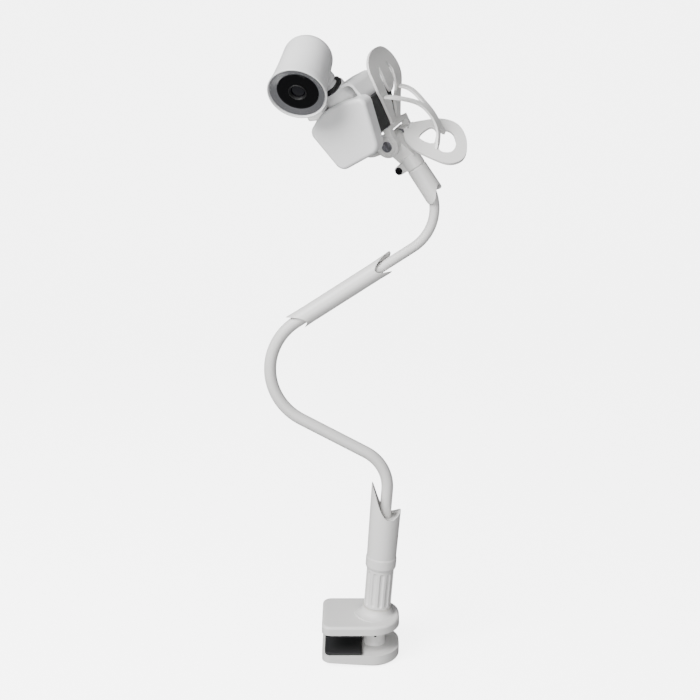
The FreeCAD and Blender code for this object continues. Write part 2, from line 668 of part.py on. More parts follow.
def cross_head(radius, height, shank, length, recess):
    """Pan head screw along Z, head below zero, with a cross recess."""
    top = "-(" + height + ")"
    head = turned([(0, top), (radius + " * 0.7", top), (radius, top + " * 0.45"), (radius, 0), (shank, 0),
                   (shank, length), (0, length)], "screw")
    depth = value(height) + 0.4
    bars = [box(2 * recess, 1.0, 1.4, (-recess, -0.5, -depth)),
            box(1.0, 2 * recess, 1.4, (-0.5, -recess, -depth))]
    return cut(head, *bars)


def nut(bore, across, height):
    """Hexagon nut along Z."""
    half = value(across) / 2 / math.cos(math.radians(30))
    angles = [math.radians(60 * k) for k in range(6)]
    corners = [(half * math.cos(angle), half * math.sin(angle)) for angle in angles]
    return cut(slab(corners, height, "hexagon"), cylinder(bore, 30, (0, 0, -10)))


ALONG_Y = turn_to((0, 1, 0))
EYE_LOW = "disc_width + lug_gap"
LEVER_1 = EYE_LOW + " + eye_width + lug_gap"
SPRING_LOW = LEVER_1 + " + lug_width + lug_gap"
LEVER_2 = SPRING_LOW + " + spring_length + lug_gap"
REAR_LUG = LEVER_2 + " + lug_width + lug_gap"
BOLT_END = REAR_LUG + " + lug_width"


def smooth(points, closed=False):
    curve = Part.BSplineCurve()
    if closed:
        curve.interpolate(points, PeriodicFlag=True)
    else:
        curve.interpolate(points)
    return curve.toShape()


def closed_face(points):
    return Part.Face(Part.Wire([smooth(points, True)]))


def bent_plate(line, thickness, y_low, y_high):
    """Plate of even thickness that follows a smooth (x, z) line and is straight along Y."""
    curve = Part.BSplineCurve()
    curve.interpolate([Vector(x, 0, z) for x, z in line])
    sides = []
    for side in (0.5, -0.5):
        row = []
        for step in range(17):
            parameter = curve.FirstParameter + (curve.LastParameter - curve.FirstParameter) * step / 16
            tangent = curve.tangent(parameter)[0]
            normal = Vector(-tangent.z, 0, tangent.x)
            row.append(curve.value(parameter) + normal * (side * thickness))
        sides.append(row)
    left, right = sides
    wire = Part.Wire([smooth(left), run(left[-1], right[-1]), smooth(right), run(right[0], left[0])])
    plate = Part.Face(wire).extrude(Vector(0, y_high - y_low, 0))
    plate.translate(Vector(0, y_low, 0))
    return plate


WING_MID = value(BOLT_END) / 2
WING_FOOT = 10.0
WING_LINE = [(6.8, 11.0), (10.5, 21.4), (14.0, 31.0), (17.6, 41.0), (19.2, 50.0), (19.2, 60.0),
             (20.4, 73.0)]


def wing_shape():
    """The clip jaw's wing: leaf-shaped plate with a long opening and a tongue in it."""
    length, half = value("wing_length"), value("wing_width") / 2
    narrow = value("neck_width") / 2
    plate = bent_plate(WING_LINE, value("wing_thick"), WING_MID - half - 1, WING_MID + half + 1)

    def leaf(pairs):
        """(height share, half width) pairs to a closed outline in the Y-Z plane."""
        right = [Vector(-20, WING_MID + wide, WING_FOOT + length * share) for share, wide in pairs]
        left = [Vector(-20, WING_MID - wide, WING_FOOT + length * share)
                for share, wide in reversed(pairs) if wide > 0.01]
        return closed_face(right + left).extrude(Vector(70, 0, 0))

    outside = leaf([(-0.06, narrow), (0.08, narrow + 1.5), (0.2, 0.5 * half), (0.34, 0.68 * half),
                    (0.52, 0.95 * half), (0.66, half), (0.8, 0.94 * half), (0.92, 0.7 * half), (1.0, 0.0)])
    opening = leaf([(0.1, 0.0), (0.16, 2.6), (0.3, 3.4), (0.42, 9.0), (0.55, 11.5), (0.7, 11.5),
                    (0.79, 7.0), (0.81, 0.0)])
    tongue = leaf([(0.43, 0.0), (0.47, 4.6), (0.58, 7.6), (0.7, 7.4), (0.84, 5.2), (0.87, 0.0)])
    return plate.common(outside).cut(opening.cut(tongue))


def clip_jaw():
    disc = cylinder("disc_rad", "disc_width", (0, 0, 0), (0, 1, 0))
    groove = torus("disc_rad - 2.4", 0.7, (0, 0, 0), (0, 1, 0))
    rear = cylinder("lug_rad", "lug_width", (0, REAR_LUG, 0), (0, 1, 0))
    front_arm = box(5.7, "disc_width", 13.6, (3.3, 0, 0))
    rear_arm = box(5.7, "lug_width", 13.6, (3.3, REAR_LUG, 0))
    bar = box(5.0, BOLT_END, 3.6, (4.2, 0, 10.0))
    wing = feature(wing_shape(), "wing")
    bolt_hole = cylinder("bolt_rad", 80, (0, -20, 0), (0, 1, 0))
    return cut(fuse(disc, rear, front_arm, rear_arm, bar, wing), groove, bolt_hole)


PADDLE_ANGLE = -38.0
PADDLE_TWIST = 18.0
PADDLE_RISE = 4.0
PADDLE = Placement(Vector(), Rotation(Vector(0, 1, 0), -PADDLE_ANGLE)).multiply(
    Placement(Vector(0, 0, PADDLE_RISE), Rotation(Vector(1, 0, 0), PADDLE_TWIST)))
JAW_LINE = [(-5.0, -4.6), (-13.0, -5.6), (-20.3, -1.8), (-24.5, 8.0), (-27.0, 16.0), (-29.5, 24.0),
            (-32.0, 32.0), (-34.2, 38.0), (-39.6, 43.6), (-48.0, 46.4), (-57.0, 48.6)]


def paddle_shape():
    """The lever's paddle: a leaf with two openings, one on each side of the spring's seat."""
    grow = value("paddle_length") / 50.0
    rim = [(7, 24), (12.5, 7.5), (23.7, 0.1), (42.8, -4.6), (56, -4.4), (62, 2), (61.5, 16.4), (53.4, 32.7),
           (40.6, 43.2), (27.5, 42.8), (15.5, 35)]
    near_hole = [(21.5, 14.5), (28, 11.6), (34.4, 12.6), (33.6, 19), (30.2, 28), (26.2, 30.4), (22.2, 25)]
    far_hole = [(40.2, 9.8), (45, 5.8), (50.6, 7.8), (52, 15.5), (47.6, 25.5), (41, 31.4), (35.4, 31.0),
                (36.8, 21.0)]

    def flat(points):
        return closed_face([Vector(u * grow, v, -3) for u, v in points]).extrude(Vector(0, 0, 10))

    thick = value("wing_thick")
    plate = Part.makeBox(100, 80, thick, Vector(-10, -20, -thick / 2))
    plate = plate.common(flat(rim)).cut(flat(near_hole)).cut(flat(far_hole))
    plate.Placement = PADDLE
    return plate


def jaw_shape():
    plate = bent_plate(JAW_LINE, value("wing_thick") + 0.2, -8, 46)
    rim = [(-3, 19.5), (-12, 19.2), (-18.5, 8), (-27, -2), (-40, -6.5), (-50, -4), (-56, 8), (-55, 24),
           (-48, 36), (-38, 41), (-27, 40), (-18.5, 36), (-12, 33.4), (-3, 33.4)]
    outside = [Vector(x, y, -20) for x, y in rim]
    return plate.common(closed_face(outside).extrude(Vector(0, 0, 90)))


def clip_lever():
    lug_1 = cylinder("lug_rad", "lug_width", (0, LEVER_1, 0), (0, 1, 0))
    lug_2 = cylinder("lug_rad", "lug_width", (0, LEVER_2, 0), (0, 1, 0))
    span = "2 * lug_width + spring_length + 2 * lug_gap"
    left_bar = box(5, span, 3.2, (-11, LEVER_1, -6.4))
    left_web_1 = box(6, "lug_width", 4.5, (-8, LEVER_1, -6.4))
    left_web_2 = box(6, "lug_width", 4.5, (-8, LEVER_2, -6.4))
    right_bar = box(6, span, 3.4, (8.0, LEVER_1, -3.6))
    right_web_1 = box(10, "lug_width", 5, (3, LEVER_1, -3.6))
    right_web_2 = box(10, "lug_width", 5, (3, LEVER_2, -3.6))
    riser = box(4.0, 13.4, 9, (10.4, LEVER_1, -3.6))
    plates = [feature(paddle_shape(), "paddle"), feature(jaw_shape(), "jaw")]
    bolt_hole = cylinder("bolt_rad + bolt_play", 80, (0, -20, 0), (0, 1, 0))
    left_side = fuse(left_bar, left_web_1, left_web_2)
    right_side = fuse(right_bar, right_web_1, right_web_2, riser)
    return cut(fuse(lug_1, lug_2, left_side, right_side, *plates), bolt_hole)


def arch_spring():
    """Band bent round the hinge, forked at both ends, from the wing to the paddle."""
    inner, outer = value("arch_rad - arch_thick / 2"), value("arch_rad + arch_thick / 2")
    band, mid = value("arch_band") / 2, WING_MID
    ring_solid = Part.makeCylinder(outer, 60, Vector(0, -10, 0), Vector(0, 1, 0)).cut(
        Part.makeCylinder(inner, 60, Vector(0, -10, 0), Vector(0, 1, 0)))
    parts = []
    legs = [((68, 4.0), (56, 4.6), (40, 10.0), (26, mid - 3.2), (8, mid - 1.6), (-8, mid - 2.4), (-24, 9.5),
             (-48, 9.0)),
            ((68, 34.0), (56, 33.0), (40, 27.6), (26, mid + 3.2), (8, mid + 1.6), (-8, mid + 2.4),
             (-22, 28.0), (-48, 31.0))]
    for line in legs:
        upper_edge, lower_edge = [], []
        for degrees, depth in line:
            angle = math.radians(degrees)
            beyond_arch = Vector(math.cos(angle), 0, math.sin(angle)) * 60
            upper_edge.append(beyond_arch + Vector(0, depth + band * 0.62, 0))
            lower_edge.append(beyond_arch + Vector(0, depth - band * 0.62, 0))
        parts.append(ribbon(upper_edge, lower_edge))
    cutter = parts[0].fuse(parts[1])
    arch = ring_solid.common(cutter)
    beyond = Part.makeBox(200, 200, 60, Vector(-100, -100, -60 + value("wing_thick") / 2))
    beyond.Placement = PADDLE
    arch = arch.cut(beyond)
    behind = bent_plate([(x - 8, z) for x, z in WING_LINE], 16 + value("wing_thick") + 0.02, -20, 60)
    return arch.cut(behind).removeSplitter()


def ribbon(upper_edge, lower_edge):
    """Wedge-shaped solid from the hinge axis out through a band between two edge curves."""
    def surface(edge_points):
        outer_curve = smooth(edge_points)
        inner_curve = smooth([Vector(p.x * 0.4, p.y, p.z * 0.4) for p in edge_points])
        return Part.makeRuledSurface(inner_curve, outer_curve)
    top, bottom = surface(upper_edge), surface(lower_edge)
    outside = Part.makeRuledSurface(smooth(upper_edge), smooth(lower_edge))
    inside = Part.makeRuledSurface(smooth([Vector(p.x * 0.4, p.y, p.z * 0.4) for p in upper_edge]),
                                   smooth([Vector(p.x * 0.4, p.y, p.z * 0.4) for p in lower_edge]))
    ends = []
    for k in (0, -1):
        a, b = upper_edge[k], lower_edge[k]
        c, d = Vector(b.x * 0.4, b.y, b.z * 0.4), Vector(a.x * 0.4, a.y, a.z * 0.4)
        ends.append(Part.Face(Part.makePolygon([a, b, c, d, a])))
    shell = Part.Shell([top, bottom, outside, inside] + ends)
    shell.sewShape()
    solid = Part.Solid(shell)
    solid.fix(0.01, 0.01, 0.01)
    if solid.Volume < 0:
        solid.reverse()
    return solid


def hinge_spring():
    """Outer shape of the coil spring on the tilt screw."""
    coil = ring("bolt_rad + 0.3", "lug_rad - 1.6", SPRING_LOW, "spring_length", "coil")
    return coil


def side_pad(side_low, side_high, y_low, y_high, thickness):
    """Pad on one side of the camera; the two (x, z) points lie on its inner face."""
    low, high = Vector(side_low[0], 0, side_low[1]), Vector(side_high[0], 0, side_high[1])
    along = (high - low).normalize()
    outward = Vector(along.z, 0, -along.x) * (thickness if side_low[0] > 0 else -thickness)
    face = Part.Face(Part.makePolygon([low, high, high + outward, low + outward, low]))
    solid = face.extrude(Vector(0, y_high - y_low, 0))
    solid.translate(Vector(0, y_low, 0))
    edges = [edge for edge in solid.Edges if abs(edge.Length - thickness) < 0.01]
    return feature(solid.makeFillet(2.5, edges), "side_pad")


CLIP_Y = CLIP.multiply(Placement(Vector(), ALONG_Y))
piece(yoke(), "yoke", YOKE)
piece(cross_head("3.0", "2.0", "1.5", "16", 1.7), "pinch_screw",
      YOKE.multiply(Placement(Vector(PINCH_X, -value("eye_width") / 2, PINCH_Z), ALONG_Y)))
piece(nut("1.5", "5.5", "2.2"), "pinch_nut",
      YOKE.multiply(Placement(Vector(PINCH_X, value("eye_width") / 2, PINCH_Z), ALONG_Y)))
piece(clip_jaw(), "clip_jaw", CLIP)
piece(cross_head("4.4", "2.4", "bolt_rad", BOLT_END + " + 4", 2.6), "tilt_screw", CLIP_Y)
piece(nut("bolt_rad", "8", "3.2"), "tilt_nut", CLIP_Y.multiply(Placement(spot(0, 0, BOLT_END), Rotation())))
piece(clip_lever(), "clip_lever", CLIP)
piece(hinge_spring(), "hinge_spring", CLIP_Y)
piece(feature(arch_spring()), "arch_spring", CLIP)


# ---------------------------------------------------------------- camera base

CASE_FRONT = -35.0
CASE_SEAM = value("front_depth") + CASE_FRONT
CASE_BACK = value("rear_depth") + CASE_SEAM
RIGHT_LOW, RIGHT_HIGH = (3.75, 14.6), (13.6, 43.0)
LEFT_LOW, LEFT_HIGH = (-21.5, 14.5), (-29.2, 39.0)


def rounded_polygon(corners, radii, y):
    """Wire in the X-Z plane with a fillet of the given radius at every corner."""
    points = [Vector(x, y, z) for x, z in corners]
    count = len(points)
    stops = []
    for k in range(count):
        before = (points[k] - points[k - 1]).normalize()
        after = (points[(k + 1) % count] - points[k]).normalize()
        stops.append(arc_at(points[k], before, after, radii[k]))
    edges = []
    for k in range(count):
        edges.append(bend(stops[k]))
        edges.append(run(stops[k][2], stops[(k + 1) % count][0]))
    return Part.Wire(edges)


FRONT_CORNERS = [(-27.8, 1.6), (11.6, 4.2), (21.4, 46.6), (3.0, 50.2), (-14.0, 50.2), (-26.0, 46.4),
                 (-37.0, 40.2)]
FRONT_RADII = [8.0, 9.0, 6.0, 20.0, 20.0, 14.0, 7.0]
REAR_CORNERS = [(-20.0, 10.0), (2.4, 11.6), (14.2, 45.5), (10.6, 61.0), (-8.0, 61.0), (-31.0, 45.0)]
REAR_RADII = [4.0, 4.0, 8.0, 7.0, 9.0, 7.0]
HUB_DIR = Vector(0, -0.423, 0.906).normalize()
BALL_AT = Vector(-8.2, -18.6, 62.2)
HUB = CLIP.multiply(Placement(BALL_AT, Rotation(Vector(1, 0, 0), math.degrees(math.asin(0.423)))))


def prism(corners, radii, y_low, y_high):
    return Part.Face(rounded_polygon(corners, radii, y_low)).extrude(Vector(0, y_high - y_low, 0))


def inset(corners, radii, wall):
    """The same outline moved inwards by one wall."""
    middle_x = sum(x for x, z in corners) / len(corners)
    middle_z = sum(z for x, z in corners) / len(corners)
    spread = [math.hypot(x - middle_x, z - middle_z) for x, z in corners]
    shares = [1 - 1.35 * wall / reach for reach in spread]
    moved_in = [(middle_x + (x - middle_x) * share, middle_z + (z - middle_z) * share)
                for (x, z), share in zip(corners, shares)]
    return moved_in, [max(radius - wall, 1.5) for radius in radii]


def front_cover():
    solid = prism(FRONT_CORNERS, FRONT_RADII, CASE_FRONT, CASE_SEAM)
    rims = [edge for edge in solid.Edges if abs(edge.BoundBox.YMax - CASE_FRONT) < 0.01]
    solid = solid.makeFillet(value("front_round"), rims)
    wall = value("case_wall")
    hollow = prism(*inset(FRONT_CORNERS, FRONT_RADII, wall), CASE_FRONT + wall, CASE_SEAM - wall)
    through = prism(*inset(REAR_CORNERS, REAR_RADII, wall), CASE_SEAM - 5, CASE_SEAM + 5)
    low_half = Part.makeBox(100, 20, 50, Vector(-60, CASE_SEAM - 10, 0))
    return feature(solid.cut(hollow).cut(through.common(low_half)), "front_cover")


def hub_solid():
    """Round hub with a flared foot; Z is the pan axis and the ball's centre is at zero."""
    rim = value("hub_rad")
    profile = [Vector(0, 0, -24), Vector(16, 0, -24), Vector(13, 0, -12), Vector(rim + 0.6, 0, -7.5),
               Vector(rim, 0, -3.5), Vector(rim, 0, 0.2), Vector(0, 0, 0.2)]
    face = Part.Face(Part.makePolygon(profile + profile[:1]))
    return face.revolve(Vector(), Vector(0, 0, 1), 360)


def rear_cover():
    wall = value("case_wall")
    solid = prism(REAR_CORNERS, REAR_RADII, CASE_SEAM, CASE_BACK)
    rims = [edge for edge in solid.Edges if abs(edge.BoundBox.YMin - CASE_BACK) < 0.01]
    solid = solid.makeFillet(value("front_round"), rims)
    local = CLIP.inverse().multiply(HUB)
    hub = hub_solid()
    hub.Placement = local
    hub = hub.cut(prism(FRONT_CORNERS, FRONT_RADII, CASE_FRONT - 10, CASE_SEAM))
    hollow = prism(*inset(REAR_CORNERS, REAR_RADII, wall), CASE_SEAM - 1, CASE_BACK - wall)
    dome = Part.makeSphere(value("ball_rad") + 2.2, BALL_AT)
    ball_room = Part.makeSphere(value("ball_rad") + value("ball_play"), BALL_AT)
    neck_room = Part.makeCylinder(value("ball_rad") + value("ball_play"), 12)
    neck_room.Placement = local
    jack = Part.makeCylinder(3.0, 12, Vector(-9, CASE_BACK - 6, 24), Vector(0, 1, 0))
    cover = solid.cut(hollow.cut(dome)).fuse(hub)
    return feature(cover.cut(ball_room).cut(neck_room).cut(jack), "rear_cover")


def case_board():
    board = Part.makeBox(15, 1.6, 23, Vector(-16, -3.0, 18))
    return feature(board, "board")


def power_inlet():
    outer = Part.makeCylinder(2.95, 10, Vector(-9, CASE_BACK - 10.1, 24), Vector(0, 1, 0))
    bore = Part.makeCylinder(1.9, 8, Vector(-9, CASE_BACK - 8, 24), Vector(0, 1, 0))
    pin = Part.makeCylinder(0.6, 8, Vector(-9, CASE_BACK - 8.2, 24), Vector(0, 1, 0))
    return feature(outer.cut(bore).fuse(pin), "inlet")


SCREW_HEAD = 2.2


def case_screws():
    """Heads of the two screws in the rear cover's back."""
    screws = []
    for x, z in ((-18, 36), (4, 36)):
        screws.append(Part.makeCylinder(SCREW_HEAD, 1.0, Vector(x, CASE_BACK, z), Vector(0, 1, 0)))
    return feature(Part.Compound(screws), "screws")


piece(front_cover(), "base_front_cover", CLIP)
piece(rear_cover(), "base_rear_cover", CLIP)
piece(case_board(), "base_board", CLIP)
piece(power_inlet(), "power_inlet", CLIP)
piece(case_screws(), "case_screws", CLIP)
piece(side_pad(RIGHT_LOW, RIGHT_HIGH, -17, CASE_BACK + 8, value("clip_pad_thick")), "jaw_pad", CLIP)
piece(side_pad(LEFT_LOW, LEFT_HIGH, -2, CASE_BACK + 8, value("clip_pad_thick")), "lever_pad", CLIP)


# ---------------------------------------------------------------- camera head

piece(turned([("ball_rad + 0.35", 0.4), ("ring_rad", 0.4), ("ring_rad", "ring_height + 0.4"),
              ("ball_rad - 0.3", "ring_height + 0.4")], "pan_ring"), "pan_ring", HUB)

HEAD_SIDE = -3.0
STUB_TOP = 13.0
RIB_FOOT = 8.0
RIB_PITCH = 1.25
RIB_COUNT = 4


def head_stub():
    """Ball, neck and ribbed stub, up to the head's wall."""
    ball = sphere("ball_rad")
    neck = cylinder(4.0, 9, (0, 0, 0))
    body = turned([(0, 6.2), ("stub_rad - 1.2", 6.2), ("stub_rad", 7.2), ("stub_rad", STUB_TOP),
                   ("stub_rad - 0.8", STUB_TOP), ("stub_rad - 0.8", 24), (0, 24)], "stub")
    heights = [RIB_FOOT + RIB_PITCH * number for number in range(RIB_COUNT)]
    grooves = [torus("stub_rad + 0.1", 0.5, (0, 0, height)) for height in heights]
    return cut(fuse(ball, neck, body), *grooves)


def head_profile(offset=0.0, front_in=0.0):
    """Half section of the head in its own frame: Z towards the lip, X outwards."""
    front, rear = value("head_front") - front_in, -value("head_rear") + offset
    r_front, r_rear = value("head_front_rad") - offset, value("head_rear_rad") - offset
    shoulder = rear + 9.0
    side, crown = Vector(r_rear, 0, shoulder), Vector(r_rear * 0.42, 0, rear + 0.35)
    dome = bend((crown, Vector(r_rear * 0.80, 0, rear + 2.6), side))
    pole, lip, mouth = Vector(0, 0, crown.z), Vector(r_front, 0, front), Vector(0, 0, front)
    return Part.Face(Part.Wire([run(pole, crown), dome, run(side, lip), run(lip, mouth), run(mouth, pole)]))


def solid_of(face):
    return face.revolve(Vector(), Vector(0, 0, 1), 360)


# Head frame: origin on the head's axis above the stub, Z out of the lens.
HEAD = HUB.multiply(Placement(Vector(HEAD_SIDE, 0, value("head_reach")), turn_to((0, -1, 0))))
LIP = value("head_front")
SEAT = LIP - 1.6
DEEP = SEAT - value("bezel_depth")


def head_shell():
    outer = solid_of(head_profile())
    inner = solid_of(head_profile(value("head_wall"), 8.0))
    mouth = Part.makeCone(value("bezel_out") - 0.5, value("bezel_out") + 0.6, 10, Vector(0, 0, LIP - 9.5))
    local = HEAD.inverse().multiply(HUB)
    rim = Part.makeCylinder(value("stub_rad"), STUB_TOP)
    socket = Part.makeCylinder(value("stub_rad") - 0.8, 24).fuse(rim)
    socket.Placement = local
    return feature(outer.cut(inner).cut(mouth).cut(socket), "head_shell")


def lens_set():
    """Bezel, window, barrel, front lens, lamps and board inside the head's mouth."""
    bezel = turned([("bezel_in", DEEP), ("bezel_out - 0.7", DEEP), ("bezel_out + 0.2", SEAT),
                    ("bezel_out - 0.8", SEAT), ("bezel_in", DEEP + 1.2)], "bezel")
    window = cut(cylinder("bezel_in - 0.05", "window_thick", (0, 0, DEEP - 0.2)),
                 cylinder("barrel_rad", 20, (0, 0, DEEP - 8)))
    barrel_rad, front = "barrel_rad - 0.05", DEEP + 2.2
    back = front - value("barrel_length")
    barrel = turned([(0, back), (barrel_rad, back), (barrel_rad, front), ("lens_rad", front),
                     ("lens_rad", DEEP - 4.0), (0, DEEP - 4.0)], "barrel")
    lens = turned([(0, DEEP - 2.5), ("lens_rad - 0.05", DEEP - 2.5), ("lens_rad - 0.05", DEEP - 0.5),
                   ("lens_rad * 0.6", DEEP + 0.5), (0, DEEP + 0.9)], "lens")
    lamps = []
    for number in range(8):
        angle = 2 * math.pi * (number + 0.5) / 8
        at = (value("lamp_ring") * math.cos(angle), value("lamp_ring") * math.sin(angle), DEEP - 3.4)
        lamps.append(cylinder("lamp_rad", 3.1, at))
    board = cut(cylinder("bezel_in - 0.6", 1.6, (0, 0, DEEP - 5.1)),
                cylinder("barrel_rad", 20, (0, 0, DEEP - 12)))
    return bezel, window, barrel, lens, fuse(*lamps), board


piece(head_stub(), "head_stub", HUB)
piece(head_shell(), "head_shell", HEAD)
LENS_LABELS = ("lens_bezel", "front_window", "lens_barrel", "front_lens", "infrared_lamps", "lamp_board")
for label, obj in zip(LENS_LABELS, lens_set()):
    piece(obj, label, HEAD)


# ---------------------------------------------------------------- check and write

doc.recompute()
for obj in doc.Objects:
    if "Invalid" in obj.State or "Error" in obj.State:
        raise RuntimeError("%s (%s) did not build: %s" % (obj.Name, obj.Label, obj.State))
os.makedirs("parts", exist_ok=True)
for obj in PIECES:
    shape = obj.Shape
    if shape.isNull() or not shape.isValid() or not shape.Solids:
        raise RuntimeError(obj.Label + " is not a valid solid")
for obj in PIECES:
    obj.Shape.exportStep("parts/%s.step" % obj.Label)
print("%d sub-parts written" % len(PIECES))
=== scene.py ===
"""Small bullet-head camera in a spring clip, on a bendable arm in a screw clamp."""
import json
import math

import bmesh
import bpy
from mathutils import Matrix, Vector


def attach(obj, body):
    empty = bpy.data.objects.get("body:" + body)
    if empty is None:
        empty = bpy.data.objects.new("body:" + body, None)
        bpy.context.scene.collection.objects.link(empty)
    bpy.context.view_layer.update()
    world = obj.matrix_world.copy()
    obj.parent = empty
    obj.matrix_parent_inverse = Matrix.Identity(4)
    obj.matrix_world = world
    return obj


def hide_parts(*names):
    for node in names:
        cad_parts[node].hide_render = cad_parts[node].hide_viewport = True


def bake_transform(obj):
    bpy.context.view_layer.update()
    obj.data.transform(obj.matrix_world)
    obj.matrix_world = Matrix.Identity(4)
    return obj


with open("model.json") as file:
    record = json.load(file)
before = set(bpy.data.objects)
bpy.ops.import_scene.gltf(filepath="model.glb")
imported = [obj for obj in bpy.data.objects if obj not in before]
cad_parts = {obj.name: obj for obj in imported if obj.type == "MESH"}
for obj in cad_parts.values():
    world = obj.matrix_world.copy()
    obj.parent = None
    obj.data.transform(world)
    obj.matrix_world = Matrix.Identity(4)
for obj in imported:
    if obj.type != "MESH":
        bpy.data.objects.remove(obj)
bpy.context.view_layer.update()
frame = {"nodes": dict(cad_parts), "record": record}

MM = 0.001


# ---------------------------------------------------------------- materials

def linear(text):
    """A hex sRGB colour as linear values."""
    parts = [int(text[k:k + 2], 16) / 255 for k in (1, 3, 5)]
    return tuple(c / 12.92 if c <= 0.04045 else ((c + 0.055) / 1.055) ** 2.4 for c in parts) + (1.0,)


def add(tree, kind, values=None, links=None, **settings):
    """One shader node, with its constant inputs, its linked inputs and its settings."""
    node = tree.nodes.new(kind)
    for key, setting in settings.items():
        setattr(node, key, setting)
    for key, number in (values or {}).items():
        node.inputs[key].default_value = number
    for key, source in (links or {}).items():
        tree.links.new(source, node.inputs[key])
    return node


def finish_of(name, colour, roughness, grain=0.4, depth=0.02, spread=0.05, shade=0.94, edge=0.5, **values):
    """Surface with a fine grain, slightly uneven gloss and softened edges.

    grain is the grain's size in mm, depth its relief in mm, spread how far the gloss varies,
    shade how dark its darkest patches are, and edge the radius that light sees on its edges, in mm.
    """
    material = bpy.data.materials.new(name)
    material.use_nodes = True
    tree = material.node_tree
    tree.nodes.clear()
    place = add(tree, "ShaderNodeTexCoord").outputs["Object"]
    fine = add(tree, "ShaderNodeTexNoise", {"Scale": 1000 / grain, "Detail": 3.0}, {"Vector": place})
    broad = add(tree, "ShaderNodeTexNoise", {"Scale": 55.0, "Detail": 4.0}, {"Vector": place})
    gloss = add(tree, "ShaderNodeMapRange", {"To Min": roughness - spread, "To Max": roughness + spread},
                {"Value": broad.outputs["Fac"]})
    darker = tuple(c * shade for c in linear(colour)[:3]) + (1.0,)
    tint = add(tree, "ShaderNodeMix", {"A": darker, "B": linear(colour)}, {"Factor": broad.outputs["Fac"]},
               data_type="RGBA")
    soft = add(tree, "ShaderNodeBevel", {"Radius": edge * MM}, samples=4)
    bump = add(tree, "ShaderNodeBump", {"Strength": 1.0, "Distance": depth * MM},
               {"Height": fine.outputs["Fac"], "Normal": soft.outputs["Normal"]})
    shader = add(tree, "ShaderNodeBsdfPrincipled", values,
                 {"Base Color": tint.outputs["Result"], "Roughness": gloss.outputs["Result"],
                  "Normal": bump.outputs["Normal"]})
    add(tree, "ShaderNodeOutputMaterial", links={"Surface": shader.outputs["BSDF"]})
    return material


# Off-white and even, with the soft sheen of a spark-eroded mould.
CLAMP = finish_of("moulded ABS, spark-eroded satin", "#DDDCDA", 0.42, 0.5, 0.012)
# The same plastic with a slightly tighter sheen, so the long sleeves show a soft light line.
ARM = finish_of("moulded ABS, fine satin", "#DFDEDC", 0.40, 0.4, 0.010)
# A little glossier, so the rims of the thin plates show.
CLIP = finish_of("moulded ABS, tumbled semi-gloss", "#DCDBD9", 0.34, 0.6, 0.008)
# The whitest and smoothest plastic, which sets the camera off from its holder.
CAMERA = finish_of("moulded ABS, semi-gloss", "#E4E4E4", 0.32, 0.3, 0.005)
# Soft and slightly waxy; the light fades slowly round the neck.
SHEATH = finish_of("soft PVC, drawn", "#D6D5D3", 0.45, 0.8, 0.02)
# Dull black that keeps faint patches of grey.
BLACK = finish_of("glass-filled nylon, matt black", "#0E0E0F", 0.5, 0.4, 0.02, shade=0.8)
# Pale yellowish white of a turned bush.
NYLON = finish_of("natural nylon, turned", "#CFCDC6", 0.4, 0.4, 0.01)
# Dull dark grey without a highlight.
RUBBER = finish_of("rubber, pressed", "#1E1E1F", 0.6, 0.5, 0.04, shade=0.85)
# Mid-grey metal with narrow softened edges.
STEEL = finish_of("steel, zinc plated", "#85858A", 0.3, 0.3, 0.01, edge=0.1, Metallic=1.0)
# Near-black metal of the pinch screw.
DARK_STEEL = finish_of("steel, blackened", "#2C2C2E", 0.3, 0.3, 0.01, edge=0.1, Metallic=1.0)
# Grey ring with soft changes of brightness round the mouth.
ALUMINIUM = finish_of("aluminium, spun", "#C4C4C7", 0.26, 0.5, 0.01, edge=0.2, Metallic=1.0)
# Black and smooth. Its IOR is under acrylic's 1.49, as the window shows little reflection.
GLASS = finish_of("acrylic, black tint, polished", "#020203", 0.12, 3.0, 0.0005, spread=0.02, IOR=1.35)
# Nearly black under a clear coat.
LENS = finish_of("optical glass, coated", "#08080F", 0.05, 3.0, 0.0005, spread=0.01,
                 **{"Coat Weight": 0.4})
# Dark red, glossy, behind the window.
LAMP = finish_of("epoxy, red tint, cast", "#2A1012", 0.12, 1.0, 0.002)
# Green, semi-gloss, inside the camera.
BOARD = finish_of("epoxy board, green solder mask", "#1E5A33", 0.35, 0.5, 0.01)

SLOT_FINISH = {
    "clamp_plastic": CLAMP, "arm_plastic": ARM, "clip_plastic": CLIP, "camera_plastic": CAMERA,
    "neck_sheath": SHEATH, "band_plastic": CLIP, "black_plastic": BLACK, "bush_plastic": NYLON,
    "pad_rubber": RUBBER, "core_steel": STEEL, "spring_steel": STEEL, "zinc_steel": STEEL,
    "dark_steel": DARK_STEEL, "bezel_aluminium": ALUMINIUM, "window_acrylic": GLASS, "lens_glass": LENS,
    "lamp_resin": LAMP, "board": BOARD,
}
for entry in frame["record"]["subparts"]:
    mesh = frame["nodes"][entry["node"]].data
    mesh.materials.clear()
    mesh.materials.append(SLOT_FINISH[entry["material_slot"]])


# ---------------------------------------------------------------- mesh tools

def frame_at(origin, x_axis, z_axis):
    """Matrix from a part's own millimetres to the shared frame."""
    up = Vector(z_axis).normalized()
    side = Vector(x_axis)
    side = (side - up * side.dot(up)).normalized()
    turn = Matrix((side, up.cross(side), up)).transposed().to_4x4()
    return Matrix.Translation(Vector(origin) * MM) @ turn @ Matrix.Scale(MM, 4)


